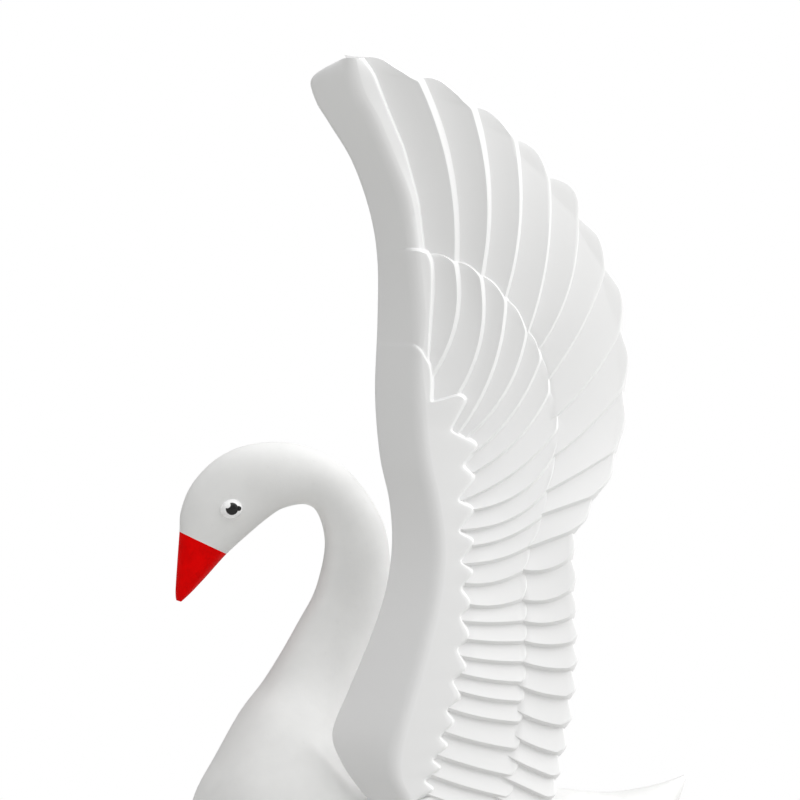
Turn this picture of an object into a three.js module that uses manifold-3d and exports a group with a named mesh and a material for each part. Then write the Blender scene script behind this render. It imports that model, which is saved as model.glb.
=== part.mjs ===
// Garden swan with raised wings, moulded in glass-fibre resin. Millimetres, +Z up.
// The swan faces -Y and its left wing is on +X. The origin is on the floor, at the middle of the base.
import * as THREE from 'three';
import { mergeVertices } from 'three/addons/utils/BufferGeometryUtils.js';
import Module from 'manifold-3d';

const wasm = await Module();
wasm.setup();

// Driving dimensions.
const BASE_LENGTH = 480;
const BASE_WIDTH = 320;
const BASE_HEIGHT = 35;
const BASE_EDGE_RADIUS = 9;
const BODY_SIDES = 18;
const BODY_SQUARENESS = 2.2;
const RINGS_PER_STATION = 2;
const NECK_SAG = 0.25;          // how far the widest line of the head and neck lies towards the throat
const JOINT_GAP = 0.5;          // between the body and what is bonded to it
const FACET_TOLERANCE = 0.2;

const EYE_LENGTH = 30;
const EYE_HEIGHT = 25;
const EYE_BULGE = 15;
const EYE_TILT = 0.35;
const EYE_PLACE = { x: 36, y: -248, z: 636 };

const WING_SWEEP = 0.15;        // how fast the wing turns in towards the tail
const WING_CURL = 0.0006;       // how much that turn tightens, per mm
const WING_THICKNESS = 20;
const BAR_EDGE_RADIUS = 8;      // on the leading edge
const BAR_EDGE_PART = 0.12;     // the part of the way to the ridge that this edge takes up
const RIDGE_ROUNDING = 2;
const RIDGE_PART = 0.1;
const BAR_REAR_DEPTH = 28;
const CORE_DEPTH = 4;           // the plate under the feathers lies this far below them
const CORE_REACH = 0.9;         // the part of the way to the rim that the plate covers
const COVERT_DEPTH = CORE_DEPTH + 3;
const FLIGHT_HEIGHTS = [-3, 3];
const COVERT_HEIGHTS = [4, 10];
const SHOULDER_HEIGHT = 12;
const SHOULDER_LAP = 6;         // how far the shoulder reaches under the ridge
const FEATHER_OVERLAP = 4;      // sideways, under the feather in front
const FLIGHT_COUNT = 24;
const COVERT_COUNT = 24;
const TOOTH_COUNT = 14;

// A smooth path through marks of the form [key, values...]; gives the values at any key.
function guide(marks) {
  const keys = marks.map((mark) => mark[0]);
  const values = marks.flatMap((mark) => mark.slice(1));
  const path = new THREE.CubicInterpolant(keys, values, marks[0].length - 1);
  const first = keys[0];
  const last = keys[keys.length - 1];
  return (key) => Array.from(path.evaluate(THREE.MathUtils.clamp(key, first, last)));
}

// A closed skin over rings of equal length, with a fan over each end.
function loftRings(rings) {
  const count = rings[0].length;
  const points = rings.flat();
  const index = [];
  for (let ring = 0; ring + 1 < rings.length; ring += 1) {
    for (let side = 0; side < count; side += 1) {
      const next = (side + 1) % count;
      const a = ring * count + side;
      const b = ring * count + next;
      index.push(a, b, b + count);
      index.push(a, b + count, a + count);
    }
  }
  const centre = (ring) => ring.reduce((sum, p) => sum.add(p), new THREE.Vector3()).divideScalar(count);
  const last = (rings.length - 1) * count;
  const startCentre = points.push(centre(rings[0])) - 1;
  const endCentre = points.push(centre(rings[rings.length - 1])) - 1;
  for (let side = 0; side < count; side += 1) {
    const next = (side + 1) % count;
    index.push(startCentre, next, side);
    index.push(endCentre, last + side, last + next);
  }
  const geometry = new THREE.BufferGeometry().setFromPoints(points);
  geometry.setIndex(index);
  return geometry;
}

// A three.js geometry as a manifold solid, turned outside-out if its faces point in.
function solidOf(geometry) {
  const bare = geometry.clone();
  bare.deleteAttribute('normal');
  bare.deleteAttribute('uv');
  const merged = mergeVertices(bare, 1e-4);
  const triVerts = Uint32Array.from(merged.index.array);
  const vertProperties = Float32Array.from(merged.attributes.position.array);
  const build = () => new wasm.Manifold(new wasm.Mesh({ numProp: 3, vertProperties, triVerts }));
  const solid = build();
  if (solid.volume() > 0) return solid;
  for (let tri = 0; tri < triVerts.length; tri += 3) {
    [triVerts[tri], triVerts[tri + 1]] = [triVerts[tri + 1], triVerts[tri]];
  }
  return build();
}

function geometryOf(solid) {
  const mesh = solid.getMesh();
  const geometry = new THREE.BufferGeometry();
  geometry.setAttribute('position', new THREE.BufferAttribute(Float32Array.from(mesh.vertProperties), 3));
  geometry.setIndex(Array.from(mesh.triVerts));
  return geometry;
}

function joined(solids) {
  return solids.reduce((whole, solid) => whole.add(solid));
}

function mirrored(geometry) {
  const copy = geometry.clone().scale(-1, 1, 1);
  const order = Array.from(copy.index.array);
  for (let tri = 0; tri < order.length; tri += 3) {
    [order[tri], order[tri + 1]] = [order[tri + 1], order[tri]];
  }
  copy.setIndex(order);
  return copy;
}

// ---------------------------------------------------------------- body
// Stations from beak tip to tail tip: [number, upper y, upper z, lower y, lower z, half width].
// The upper line runs over the head, down the nape and along the back, and the lower line
// down the throat and round the breast and belly.
const bodyStation = guide([
  [0, -318, 521, -312, 519, 5],
  [1, -319, 533, -300, 530, 14],
  [2, -317, 566, -282, 549, 23],
  [3, -314, 607, -255, 579, 31],
  [4, -312, 634, -231, 601, 35],
  [5, -298, 667, -210, 619, 40],
  [6, -268, 698, -191, 633, 44],
  [7, -228, 716, -179, 638, 45],
  [8, -181, 719, -166, 641, 43],
  [9, -140, 708, -155, 641, 40],
  [10, -106, 687, -145, 636, 38],
  [11, -80, 657, -138, 624, 37],
  [12, -59, 619, -133, 606, 37],
  [13, -51, 584, -132, 587, 38],
  [14, -51, 547, -136, 562, 39],
  [15, -57, 513, -146, 529, 41],
  [16, -70, 472, -164, 496, 45],
  [17, -86, 430, -186, 457, 54],
  [18, -101, 392, -210, 419, 70],
  [19, -106, 356, -238, 382, 96],
  [20, -94, 325, -269, 327, 122],
  [21, -76, 302, -295, 278, 139],
  [22, -58, 290, -307, 222, 148],
  [23, -40, 286, -300, 166, 152],
  [24, -22, 284, -270, 109, 153],
  [25, -2, 284, -206, 57, 152],
  [26, 22, 286, -112, 22, 150],
  [27, 54, 288, 0, 15, 146],
  [28, 104, 291, 100, 38, 135],
  [29, 162, 286, 186, 97, 114],
  [30, 222, 281, 254, 172, 84],
  [31, 278, 289, 298, 240, 48],
  [32, 318, 302, 321, 296, 5],
]);
const BODY_STATIONS = 32;
const SAG_START = [2, 5];       // the stations over which the sag comes in
const SAG_END = [17, 20];       // and goes out again

function bodyRing(station, grow) {
  const [upperY, upperZ, lowerY, lowerZ, halfWidth] = bodyStation(station);
  const middle = new THREE.Vector3(0, (upperY + lowerY) / 2, (upperZ + lowerZ) / 2);
  const rise = new THREE.Vector3(0, upperY - lowerY, upperZ - lowerZ).divideScalar(2);
  const halfHeight = rise.length();
  rise.normalize();
  const sag = NECK_SAG * (THREE.MathUtils.smoothstep(station, ...SAG_START)
    - THREE.MathUtils.smoothstep(station, ...SAG_END));
  const ring = [];
  for (let side = 0; side < BODY_SIDES; side += 1) {
    const angle = (side / BODY_SIDES) * Math.PI * 2;
    const level = roundedPower(Math.cos(angle));
    const up = (level - sag * (1 - level ** 2)) * (halfHeight + grow);
    const out = roundedPower(Math.sin(angle)) * (halfWidth + grow);
    ring.push(middle.clone().addScaledVector(rise, up).add(new THREE.Vector3(out, 0, 0)));
  }
  return ring;
}

function roundedPower(value) {
  return Math.sign(value) * Math.abs(value) ** (2 / BODY_SQUARENESS);
}

function makeBody(grow) {
  const rings = [];
  for (let step = 0; step <= BODY_STATIONS * RINGS_PER_STATION; step += 1) {
    rings.push(bodyRing(step / RINGS_PER_STATION, grow));
  }
  const below = new THREE.BoxGeometry(1000, 1000, 400).translate(0, 0, BASE_HEIGHT - 200);
  return solidOf(loftRings(rings)).subtract(solidOf(below));
}

// ---------------------------------------------------------------- base
function makeBase() {
  const half = BASE_LENGTH / 2;
  const profile = [new THREE.Vector2(0, 0), new THREE.Vector2(half, 0)];
  for (let step = 0; step <= 3; step += 1) {
    const angle = (step / 3) * Math.PI / 2;
    const reach = half - BASE_EDGE_RADIUS * (1 - Math.cos(angle));
    profile.push(new THREE.Vector2(reach, BASE_HEIGHT - BASE_EDGE_RADIUS * (1 - Math.sin(angle))));
  }
  profile.push(new THREE.Vector2(0, BASE_HEIGHT));
  const geometry = new THREE.LatheGeometry(profile, 40);
  geometry.rotateX(Math.PI / 2);
  geometry.scale(BASE_WIDTH / BASE_LENGTH, 1, 1);
  return solidOf(geometry);
}

// ---------------------------------------------------------------- eyes
function makeEye() {
  const geometry = new THREE.SphereGeometry(0.5, 16, 8);
  geometry.scale(EYE_BULGE * 2, EYE_LENGTH, EYE_HEIGHT);
  geometry.rotateX(EYE_TILT);
  geometry.translate(EYE_PLACE.x, EYE_PLACE.y, EYE_PLACE.z);
  return geometry;
}

// ---------------------------------------------------------------- wing
// The ridge that runs down behind the leading edge: [height, x, y].
const ridgeAt = guide([
  [190, 170, -30],
  [330, 180, -48],
  [450, 175, -14],
  [600, 170, 8],
  [750, 174, -19],
  [900, 189, -25],
  [1050, 216, -50],
  [1200, 254, -106],
]);

function wingFace(y, z) {
  const [ridgeX, ridgeY] = ridgeAt(z);
  const behind = Math.max(y - ridgeY, 0);
  return ridgeX - WING_SWEEP * behind - WING_CURL * behind ** 2;
}

function onWing(y, z, height) {
  return new THREE.Vector3(wingFace(y, z) + height, y, z);
}

// Leading edge, by station from the wing tip down to the shoulder and back along the flank:
// [station, front y, z, ridge y, z, rear y, z, depth from ridge to front edge].
const LEADING_STATIONS = 21;
const leadingEdge = guide([
  [0, -112, 1198, -104, 1200, -84, 1198, 14],
  [1, -149, 1174, -99, 1175, -70, 1179, 38],
  [2, -146, 1149, -91, 1150, -62, 1158, 46],
  [3, -128, 1119, -79, 1122, -52, 1128, 50],
  [4, -100, 1072, -60, 1080, -34, 1085, 52],
  [5, -78, 1009, -40, 1022, -16, 1020, 54],
  [6, -68, 947, -29, 955, -10, 957, 55],
  [7, -68, 870, -25, 870, 2, 870, 55],
  [8, -71, 780, -23, 780, 5, 780, 55],
  [9, -65, 703, -12, 700, 15, 700, 56],
  [10, -53, 645, 1, 645, 28, 645, 58],
  [11, -50, 590, 8, 590, 35, 590, 60],
  [12, -58, 533, 4, 533, 30, 533, 64],
  [13, -77, 475, -8, 475, 18, 475, 70],
  [14, -103, 412, -25, 412, 0, 420, 78],
  [15, -124, 358, -42, 352, -18, 368, 86],
  [16, -114, 322, -48, 314, -26, 336, 84],
  [17, -90, 286, -40, 284, -18, 306, 74],
  [18, -54, 248, -18, 256, 4, 280, 62],
  [19, -8, 214, 14, 228, 36, 262, 50],
  [20, 46, 196, 60, 214, 72, 252, 42],
  [21, 104, 204, 106, 220, 112, 246, 36],
]);

function leadingRing(station) {
  const [frontY, frontZ, ridgeY, ridgeZ, rearY, rearZ, depth] = leadingEdge(station);
  const ridgeX = wingFace(ridgeY, ridgeZ) + SHOULDER_HEIGHT;
  const rearX = wingFace(rearY, rearZ) + SHOULDER_HEIGHT - RIDGE_ROUNDING;
  const tuckY = THREE.MathUtils.lerp(frontY, ridgeY, BAR_EDGE_PART);
  const tuckZ = THREE.MathUtils.lerp(frontZ, ridgeZ, BAR_EDGE_PART);
  const innerX = ridgeX - depth - BAR_EDGE_RADIUS;
  return [
    new THREE.Vector3(innerX, tuckY, tuckZ),
    new THREE.Vector3(ridgeX - depth, frontY, frontZ),
    new THREE.Vector3(ridgeX - depth + BAR_EDGE_RADIUS, tuckY, tuckZ),
    new THREE.Vector3(ridgeX - RIDGE_ROUNDING, THREE.MathUtils.lerp(ridgeY, frontY, RIDGE_PART),
      THREE.MathUtils.lerp(ridgeZ, frontZ, RIDGE_PART)),
    new THREE.Vector3(ridgeX, ridgeY, ridgeZ),
    new THREE.Vector3(rearX, rearY, rearZ),
    new THREE.Vector3(rearX - BAR_REAR_DEPTH, rearY, rearZ),
    new THREE.Vector3(innerX, ridgeY, ridgeZ),
  ];
}

function makeLeadingEdge() {
  const rings = [];
  for (let station = 0; station <= LEADING_STATIONS; station += 1) rings.push(leadingRing(station));
  return solidOf(loftRings(rings));
}

// The free edge of each flight feather, from under the coverts to the wing's rim, by feather
// number from the top: [number, root y, root z, tip y, tip z, bow].
const flightEdge = guide([
  [1, -10, 959, -80, 1197, 16],
  [3, 65, 928, 52, 1137, 13],
  [5, 122, 884, 150, 1049, 9],
  [7, 147, 799, 220, 932, 5],
  [9, 159, 706, 241, 784, 5],
  [10, 149, 660, 230, 708, 1],
  [12, 125, 588, 178, 607, -2],
  [14, 121, 518, 176, 535, 0],
  [17, 119, 441, 177, 434, 2],
  [20, 110, 347, 160, 328, 2],
  [22, 96, 296, 148, 272, 0],
  [24, 70, 250, 120, 222, 0],
]);

// The same for the coverts, which lie over the flight feathers' roots.
const covertEdge = guide([
  [0, -31, 841, -37, 959, 0],
  [1, -6, 841, 6, 930, 8],
  [3, 40, 778, 68, 909, 9],
  [5, 62, 741, 119, 866, 12],
  [7, 56, 682, 148, 780, 14],
  [9, 54, 637, 158, 706, 15],
  [10, 48, 609, 147, 655, 10],
  [12, 54, 566, 123, 588, 3],
  [15, 46, 493, 118, 494, 2],
  [18, 46, 426, 116, 417, 2],
  [20, 25, 384, 112, 367, 3],
  [22, -10, 334, 103, 300, 3],
  [24, -24, 286, 90, 250, 3],
]);

// A point along feather edge `number`: `along` is 0 at the root mark and 1 at the tip.
function edgePoint(edge, number, along) {
  const [rootY, rootZ, tipY, tipZ, bow] = edge(number);
  const chordY = tipY - rootY;
  const chordZ = tipZ - rootZ;
  const length = Math.hypot(chordY, chordZ);
  const side = 4 * bow * along * (1 - along);
  return [rootY + chordY * along + (side * chordZ) / length, rootZ + chordZ * along - (side * chordY) / length];
}

// One feather between the edge in front and its own free edge: a wedge that rises towards
// the free edge, with a rounded end.
function makeFeather(edge, number, shape) {
  const columns = [0, 0.5, 1];
  const rings = [];
  for (let step = 0; step <= shape.steps; step += 1) {
    const along = THREE.MathUtils.lerp(shape.start, 1, step / shape.steps);
    const [frontY, frontZ] = edgePoint(edge, number - 1, along);
    const [freeY, freeZ] = edgePoint(edge, number, along);
    const spanY = freeY - frontY;
    const spanZ = freeZ - frontZ;
    const span = Math.hypot(spanY, spanZ);
    const round = Math.max(along, 0) ** 4 * shape.round * span;
    const top = columns.map((column) => {
      const across = THREE.MathUtils.lerp(-FEATHER_OVERLAP / span, 1, column);
      const bulge = round * 4 * column * (1 - column);
      const y = frontY + spanY * across - (spanZ / span) * bulge;
      const z = frontZ + spanZ * across + (spanY / span) * bulge;
      return [y, z, THREE.MathUtils.lerp(shape.heights[0], shape.heights[1], column)];
    });
    const ring = top.map(([y, z, height]) => onWing(y, z, height));
    const bottom = [top[2], top[0]].map(([y, z]) => onWing(y, z, -shape.depth));
    rings.push([...ring, ...bottom]);
  }
  return solidOf(loftRings(rings));
}

// The plate that the feathers lie on, in strips from the leading edge towards the rim.
const plateHub = guide([
  [0, -60, 1010],
  [2, -14, 800],
  [6, 0, 720],
  [9, 8, 660],
  [12, 12, 600],
  [15, 5, 520],
  [18, -12, 440],
  [20, -25, 390],
  [22, -26, 340],
  [24, -6, 282],
]);

function makePlate() {
  const rings = [];
  for (let number = 1; number <= FLIGHT_COUNT; number += 1) {
    const [hubY, hubZ] = plateHub(number);
    const [, , tipY, tipZ] = flightEdge(number);
    const top = [];
    for (const part of [0, 0.5, 1]) {
      const y = THREE.MathUtils.lerp(hubY, tipY, part * CORE_REACH);
      const z = THREE.MathUtils.lerp(hubZ, tipZ, part * CORE_REACH);
      top.push([y, z]);
    }
    const outer = top.map(([y, z]) => onWing(y, z, -CORE_DEPTH));
    const inner = top.reverse().map(([y, z]) => onWing(y, z, -WING_THICKNESS + 2));
    rings.push([...outer, ...inner]);
  }
  return solidOf(loftRings(rings));
}

// The smooth shoulder behind the ridge, whose rear border runs in teeth over the coverts:
// the tip of each tooth and the notch below it, from the top.
const toothTip = guide([
  [0, 3, 806],
  [1, 46, 772],
  [2, 62, 717],
  [3, 57, 678],
  [5, 58, 597],
  [7, 54, 519],
  [9, 48, 437],
  [11, 33, 370],
  [14, 8, 286],
]);
const toothNotch = guide([
  [0, 2, 768],
  [1, 26, 734],
  [2, 41, 694],
  [3, 37, 651],
  [5, 38, 571],
  [7, 38, 502],
  [9, 28, 422],
  [11, 12, 352],
  [14, -18, 272],
]);

// Where the teeth begin along the leading edge, and how many of its stations each takes up.
const FIRST_TOOTH_STATION = 7.3;
const STATIONS_PER_TOOTH = 0.72;
const NOTCH_OFFSET = 0.3;
const SHOULDER_TOP = { edge: [-20, 846], place: -0.2 };

function makeShoulder() {
  const underside = -WING_THICKNESS / 2;
  const rings = [];
  const addRing = ([edgeY, edgeZ], place) => {
    const [, , ridgeY, ridgeZ] = leadingEdge(FIRST_TOOTH_STATION + place * STATIONS_PER_TOOTH);
    const startY = ridgeY - SHOULDER_LAP;
    rings.push([
      onWing(startY, ridgeZ, SHOULDER_HEIGHT - 1),
      onWing(edgeY, edgeZ, SHOULDER_HEIGHT),
      onWing(edgeY, edgeZ, underside),
      onWing(startY, ridgeZ, underside),
    ]);
  };
  addRing(SHOULDER_TOP.edge, SHOULDER_TOP.place);
  for (let tooth = 0; tooth <= TOOTH_COUNT; tooth += 1) {
    addRing(toothTip(tooth), tooth);
    addRing(toothNotch(tooth), tooth + NOTCH_OFFSET);
  }
  return solidOf(loftRings(rings));
}

function makeWing() {
  const flight = { steps: 3, start: -0.12, round: 0.2, heights: FLIGHT_HEIGHTS, depth: WING_THICKNESS };
  const covert = { steps: 2, start: -0.15, round: 0.14, heights: COVERT_HEIGHTS, depth: COVERT_DEPTH };
  const pieces = [makeLeadingEdge(), makePlate(), makeShoulder()];
  for (let number = 2; number <= FLIGHT_COUNT; number += 1) {
    pieces.push(makeFeather(flightEdge, number, flight));
  }
  for (let number = 1; number <= COVERT_COUNT; number += 1) {
    pieces.push(makeFeather(covertEdge, number, covert));
  }
  return geometryOf(joined(pieces).simplify(FACET_TOLERANCE));
}

// ---------------------------------------------------------------- assembly
const gelcoat = { color: 0xf2f2ef, roughness: 0.55, metalness: 0 };
const finish = {
  base: new THREE.MeshStandardMaterial(gelcoat),
  swan_body: new THREE.MeshStandardMaterial(gelcoat),
  wing_left: new THREE.MeshStandardMaterial(gelcoat),
  wing_right: new THREE.MeshStandardMaterial(gelcoat),
  eye_left: new THREE.MeshStandardMaterial({ color: 0xfafafa, roughness: 0.2, metalness: 0 }),
  eye_right: new THREE.MeshStandardMaterial({ color: 0xfafafa, roughness: 0.2, metalness: 0 }),
};

const bodyCutter = makeBody(JOINT_GAP);
const seated = (geometry) => geometryOf(solidOf(geometry).subtract(bodyCutter).simplify(FACET_TOLERANCE));
const wing = makeWing();
const eye = makeEye();
const shapes = {
  base: geometryOf(makeBase()),
  swan_body: geometryOf(makeBody(0)),
  wing_left: seated(wing),
  wing_right: seated(mirrored(wing)),
  eye_left: seated(eye),
  eye_right: seated(mirrored(eye)),
};

const swan = new THREE.Group();
for (const [name, geometry] of Object.entries(shapes)) {
  const piece = new THREE.Mesh(geometry, finish[name]);
  piece.name = name;
  swan.add(piece);
}

export default swan;
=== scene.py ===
"""A garden swan with raised wings, moulded in glass-fibre resin: the finished surfaces on the frame."""

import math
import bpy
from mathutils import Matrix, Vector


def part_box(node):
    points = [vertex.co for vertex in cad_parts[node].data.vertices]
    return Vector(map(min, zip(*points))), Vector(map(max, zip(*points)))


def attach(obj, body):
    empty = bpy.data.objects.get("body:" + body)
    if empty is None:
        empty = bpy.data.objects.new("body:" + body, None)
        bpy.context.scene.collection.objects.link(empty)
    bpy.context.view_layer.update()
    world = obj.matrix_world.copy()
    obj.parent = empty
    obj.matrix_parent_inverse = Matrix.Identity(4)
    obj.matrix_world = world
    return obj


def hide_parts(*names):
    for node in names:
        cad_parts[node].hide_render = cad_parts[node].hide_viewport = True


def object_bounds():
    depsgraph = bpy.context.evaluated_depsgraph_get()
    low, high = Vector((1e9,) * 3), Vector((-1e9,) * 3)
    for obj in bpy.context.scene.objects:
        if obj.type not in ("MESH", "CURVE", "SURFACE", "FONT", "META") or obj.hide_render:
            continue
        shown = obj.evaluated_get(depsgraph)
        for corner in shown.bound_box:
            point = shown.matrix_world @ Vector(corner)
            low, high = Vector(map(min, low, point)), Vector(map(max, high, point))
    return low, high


bl_info = {
    "name": "Garden swan",
    "version": (1, 0, 0),
    "blender": (4, 5, 0),
    "location": "View3D > Sidebar > Swan",
    "description": "Builds a moulded white swan with raised, feathered wings on an oval base",
    "category": "Add Mesh",
}

import bpy
import numpy as np
from mathutils import Vector

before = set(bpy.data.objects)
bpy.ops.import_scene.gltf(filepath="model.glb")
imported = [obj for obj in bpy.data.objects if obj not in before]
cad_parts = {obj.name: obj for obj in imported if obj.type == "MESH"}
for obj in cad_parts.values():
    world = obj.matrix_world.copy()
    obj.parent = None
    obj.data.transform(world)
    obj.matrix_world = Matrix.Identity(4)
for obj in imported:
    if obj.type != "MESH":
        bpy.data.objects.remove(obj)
CAD_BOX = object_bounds()

# The shapes below are written in millimetres for a swan this tall, and scaled to the frame.
DESIGN_HEIGHT = 1200
MM = (CAD_BOX[1].z - CAD_BOX[0].z) / DESIGN_HEIGHT
BASE_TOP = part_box("base")[1].z / MM
EYE_BOX = [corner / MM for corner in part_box("eye_left")]
BODY = "root"


# ---------------------------------------------------------------- sizes and colours

def srgb(code):
    """Linear colour, with alpha 1, of an sRGB hex code such as 'F4F3EF'."""
    parts = [int(code[i:i + 2], 16) / 255 for i in (0, 2, 4)]
    linear = [p / 12.92 if p <= 0.04045 else ((p + 0.055) / 1.055) ** 2.4 for p in parts]
    return (*linear, 1.0)


def millimetres(name, default, description):
    """A size that the panel shows, in the swan's design millimetres."""
    return bpy.props.FloatProperty(name=name, default=default, min=0, description=description + ", in mm")


def colour(name, code, description):
    """A colour that the panel shows."""
    return bpy.props.FloatVectorProperty(
        name=name, subtype="COLOR", size=4, min=0, max=1, default=srgb(code), description=description)


class SwanSizes(bpy.types.PropertyGroup):
    """Sizes of the moulded relief."""

    edge_run: millimetres("Feather edge", 5.0, "Width of the sloping edge of each feather")
    edge_drop: millimetres("Edge drop", 9.0, "Height of the sloping edge of each feather")
    wing_thickness: millimetres("Wing thickness", 20.0, "Thickness of the wing at the flight feathers")
    eye_pupil: millimetres("Pupil", 16.0, "Diameter of the painted pupil")


class SwanFinishes(bpy.types.PropertyGroup):
    """Colours of the finishes."""

    gelcoat: colour("Gelcoat", "EBEBEA", "Matt white gelcoat")
    speck: colour("Gelcoat speck", "C9C9C6", "Greyer specks in the gelcoat")
    beak: colour("Beak enamel", "F00000", "Red enamel on the beak")
    beak_edge: colour("Beak enamel edge", "CE0000", "Thicker red enamel where the coats overlap")
    # The eye's own white, also used for the highlight painted on the pupil in place of a reflection.
    eye_white_and_highlight: colour("Eye white", "FBFBFB", "White of the moulded eye")
    pupil: colour("Pupil", "060606", "Black paint of the pupil")
    floor: colour("Floor", "C2C2C0", "Studio floor")


# ---------------------------------------------------------------- curves

def guide(marks):
    """A smooth path through marks of the form (key, values...); gives the values at any keys."""
    table = np.array(marks, float)
    keys, values = table[:, 0], table[:, 1:]
    step = np.diff(keys)[:, None]
    slope = np.diff(values, axis=0) / step
    tangent = np.empty_like(values)
    tangent[1:-1] = (values[2:] - values[:-2]) / (step[1:] + step[:-1])
    tangent[0] = 1.5 * slope[0] - 0.5 * tangent[1]
    tangent[-1] = 1.5 * slope[-1] - 0.5 * tangent[-2]

    def at(key):
        key = np.clip(np.asarray(key, float), keys[0], keys[-1])
        left = np.clip(np.searchsorted(keys, key, side="right") - 1, 0, len(keys) - 2)
        width = step[left, 0]
        t = ((key - keys[left]) / width)[..., None]
        width = width[..., None]
        return ((2 * t**3 - 3 * t**2 + 1) * values[left] + (t**3 - 2 * t**2 + t) * width * tangent[left]
                + (3 * t**2 - 2 * t**3) * values[left + 1] + (t**3 - t**2) * width * tangent[left + 1])

    return at


def mix(a, b, t):
    """The value a share `t` of the way from `a` to `b`."""
    return a + (b - a) * t


def rounded_path(corners, radii, steps=5):
    """A path of points along straight runs between corners, each corner eased over its radius."""
    corners = np.array(corners, float)
    points = [corners[0]]
    for before, corner, after, radius in zip(corners[:-2], corners[1:-1], corners[2:], radii[1:-1]):
        reach_in = min(0.5, radius / np.linalg.norm((corner - before)[:2]))
        reach_out = min(0.5, radius / np.linalg.norm((after - corner)[:2]))
        start = mix(corner, before, reach_in)
        end = mix(corner, after, reach_out)
        for t in np.linspace(0, 1, steps):
            points.append(mix(mix(start, corner, t), mix(corner, end, t), t))
    points.append(corners[-1])
    return np.array(points)


def respaced(points, spacing):
    """The same path with evenly spaced points."""
    points = np.array(points, float)
    reach = np.concatenate([[0], np.cumsum(np.linalg.norm(np.diff(points[:, :2], axis=0), axis=1))])
    count = max(int(round(reach[-1] / spacing)), 3) + 1
    stops = np.linspace(0, reach[-1], count)
    return np.stack([np.interp(stops, reach, column) for column in points.T], axis=1)


def smoothed(points, times):
    """The same path with its corners eased, and its ends kept."""
    points = points.copy()
    for _ in range(times):
        points[1:-1] = 0.25 * points[:-2] + 0.5 * points[1:-1] + 0.25 * points[2:]
    return points


def outward_normals(outline, inner):
    """Unit normals of a path in the wing's plane, pointing away from the inner path."""
    tangent = np.gradient(outline[:, :2], axis=0)
    tangent /= np.maximum(np.linalg.norm(tangent, axis=1), 1e-6)[:, None]
    normal = np.stack([tangent[:, 1], -tangent[:, 0]], axis=1)
    side = np.sign(np.sum(normal * (outline[:, :2] - inner[:, :2]), axis=1).sum())
    return normal * side


# ---------------------------------------------------------------- meshes

def skin(rings):
    """Points and faces of a closed skin over rings of equal length, with a fan over each end."""
    rings = np.asarray(rings, float)
    count, size = rings.shape[:2]
    points = np.concatenate([rings.reshape(-1, 3), rings[0].mean(0)[None], rings[-1].mean(0)[None]])
    ring, side = np.meshgrid(np.arange(count - 1), np.arange(size), indexing="ij")
    after = (side + 1) % size
    quads = np.stack([ring * size + side, ring * size + after,
                      (ring + 1) * size + after, (ring + 1) * size + side], axis=-1).reshape(-1, 4)
    side = np.arange(size)
    after = (side + 1) % size
    start = np.stack([np.full(size, count * size), after, side], axis=1)
    last = (count - 1) * size
    end = np.stack([np.full(size, count * size + 1), last + side, last + after], axis=1)
    return points, quads.tolist() + start.tolist() + end.tolist()


def solid_volume(points, faces):
    """Six times the volume inside the faces, negative if they face in."""
    total = 0.0
    for face in faces:
        a = points[face[0]]
        for b, c in zip(face[1:-1], face[2:]):
            total += np.dot(a, np.cross(points[b], points[c]))
    return total


def mesh_object(name, points, faces):
    """A mesh object from design millimetres, its faces turned to point out."""
    points = np.asarray(points, float)
    if solid_volume(points - points.mean(0), faces) < 0:
        faces = [face[::-1] for face in faces]
    mesh = bpy.data.meshes.new(name)
    mesh.from_pydata((points * MM).tolist(), [], faces)
    mesh.update()
    piece = bpy.data.objects.new(name, mesh)
    bpy.context.scene.collection.objects.link(piece)
    return piece


def apply_modifiers(piece):
    """Replaces the piece's mesh by the result of its modifiers."""
    evaluated = piece.evaluated_get(bpy.context.evaluated_depsgraph_get())
    mesh = bpy.data.meshes.new_from_object(evaluated)
    old = piece.data
    piece.modifiers.clear()
    piece.data = mesh
    mesh.name = piece.name
    bpy.data.meshes.remove(old)


def joined(name, parts):
    """One solid piece from overlapping solid parts."""
    first = parts[0]
    first.name = name
    group = bpy.data.collections.new(name + "_parts")
    bpy.context.scene.collection.children.link(group)
    for part in parts[1:]:
        bpy.context.scene.collection.objects.unlink(part)
        group.objects.link(part)
    union = first.modifiers.new("union", "BOOLEAN")
    union.operation = "UNION"
    union.solver = "MANIFOLD"
    union.operand_type = "COLLECTION"
    union.collection = group
    apply_modifiers(first)
    for part in parts[1:]:
        mesh = part.data
        bpy.data.objects.remove(part)
        bpy.data.meshes.remove(mesh)
    bpy.data.collections.remove(group)
    if not first.data.polygons:
        raise RuntimeError(f"{name}: the parts didn't join")
    return first


def cut(piece, cutter):
    """Removes the cutter's volume from the piece."""
    difference = piece.modifiers.new("cut", "BOOLEAN")
    difference.operation = "DIFFERENCE"
    difference.solver = "MANIFOLD"
    difference.object = cutter
    apply_modifiers(piece)


def shade_smooth(piece, angle):
    """Shades the piece smooth, and keeps edges sharper than the angle, in degrees."""
    piece.data.polygons.foreach_set("use_smooth", [True] * len(piece.data.polygons))
    piece.data.set_sharp_from_angle(angle=math.radians(angle))


def finish_piece(piece, nodes, slot, *materials):
    """Gives a piece its materials and body, and hides its CAD nodes; `slot` is not used."""
    for material in materials:
        piece.data.materials.append(material)
    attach(piece, BODY)
    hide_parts(*nodes)


# ---------------------------------------------------------------- body

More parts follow.
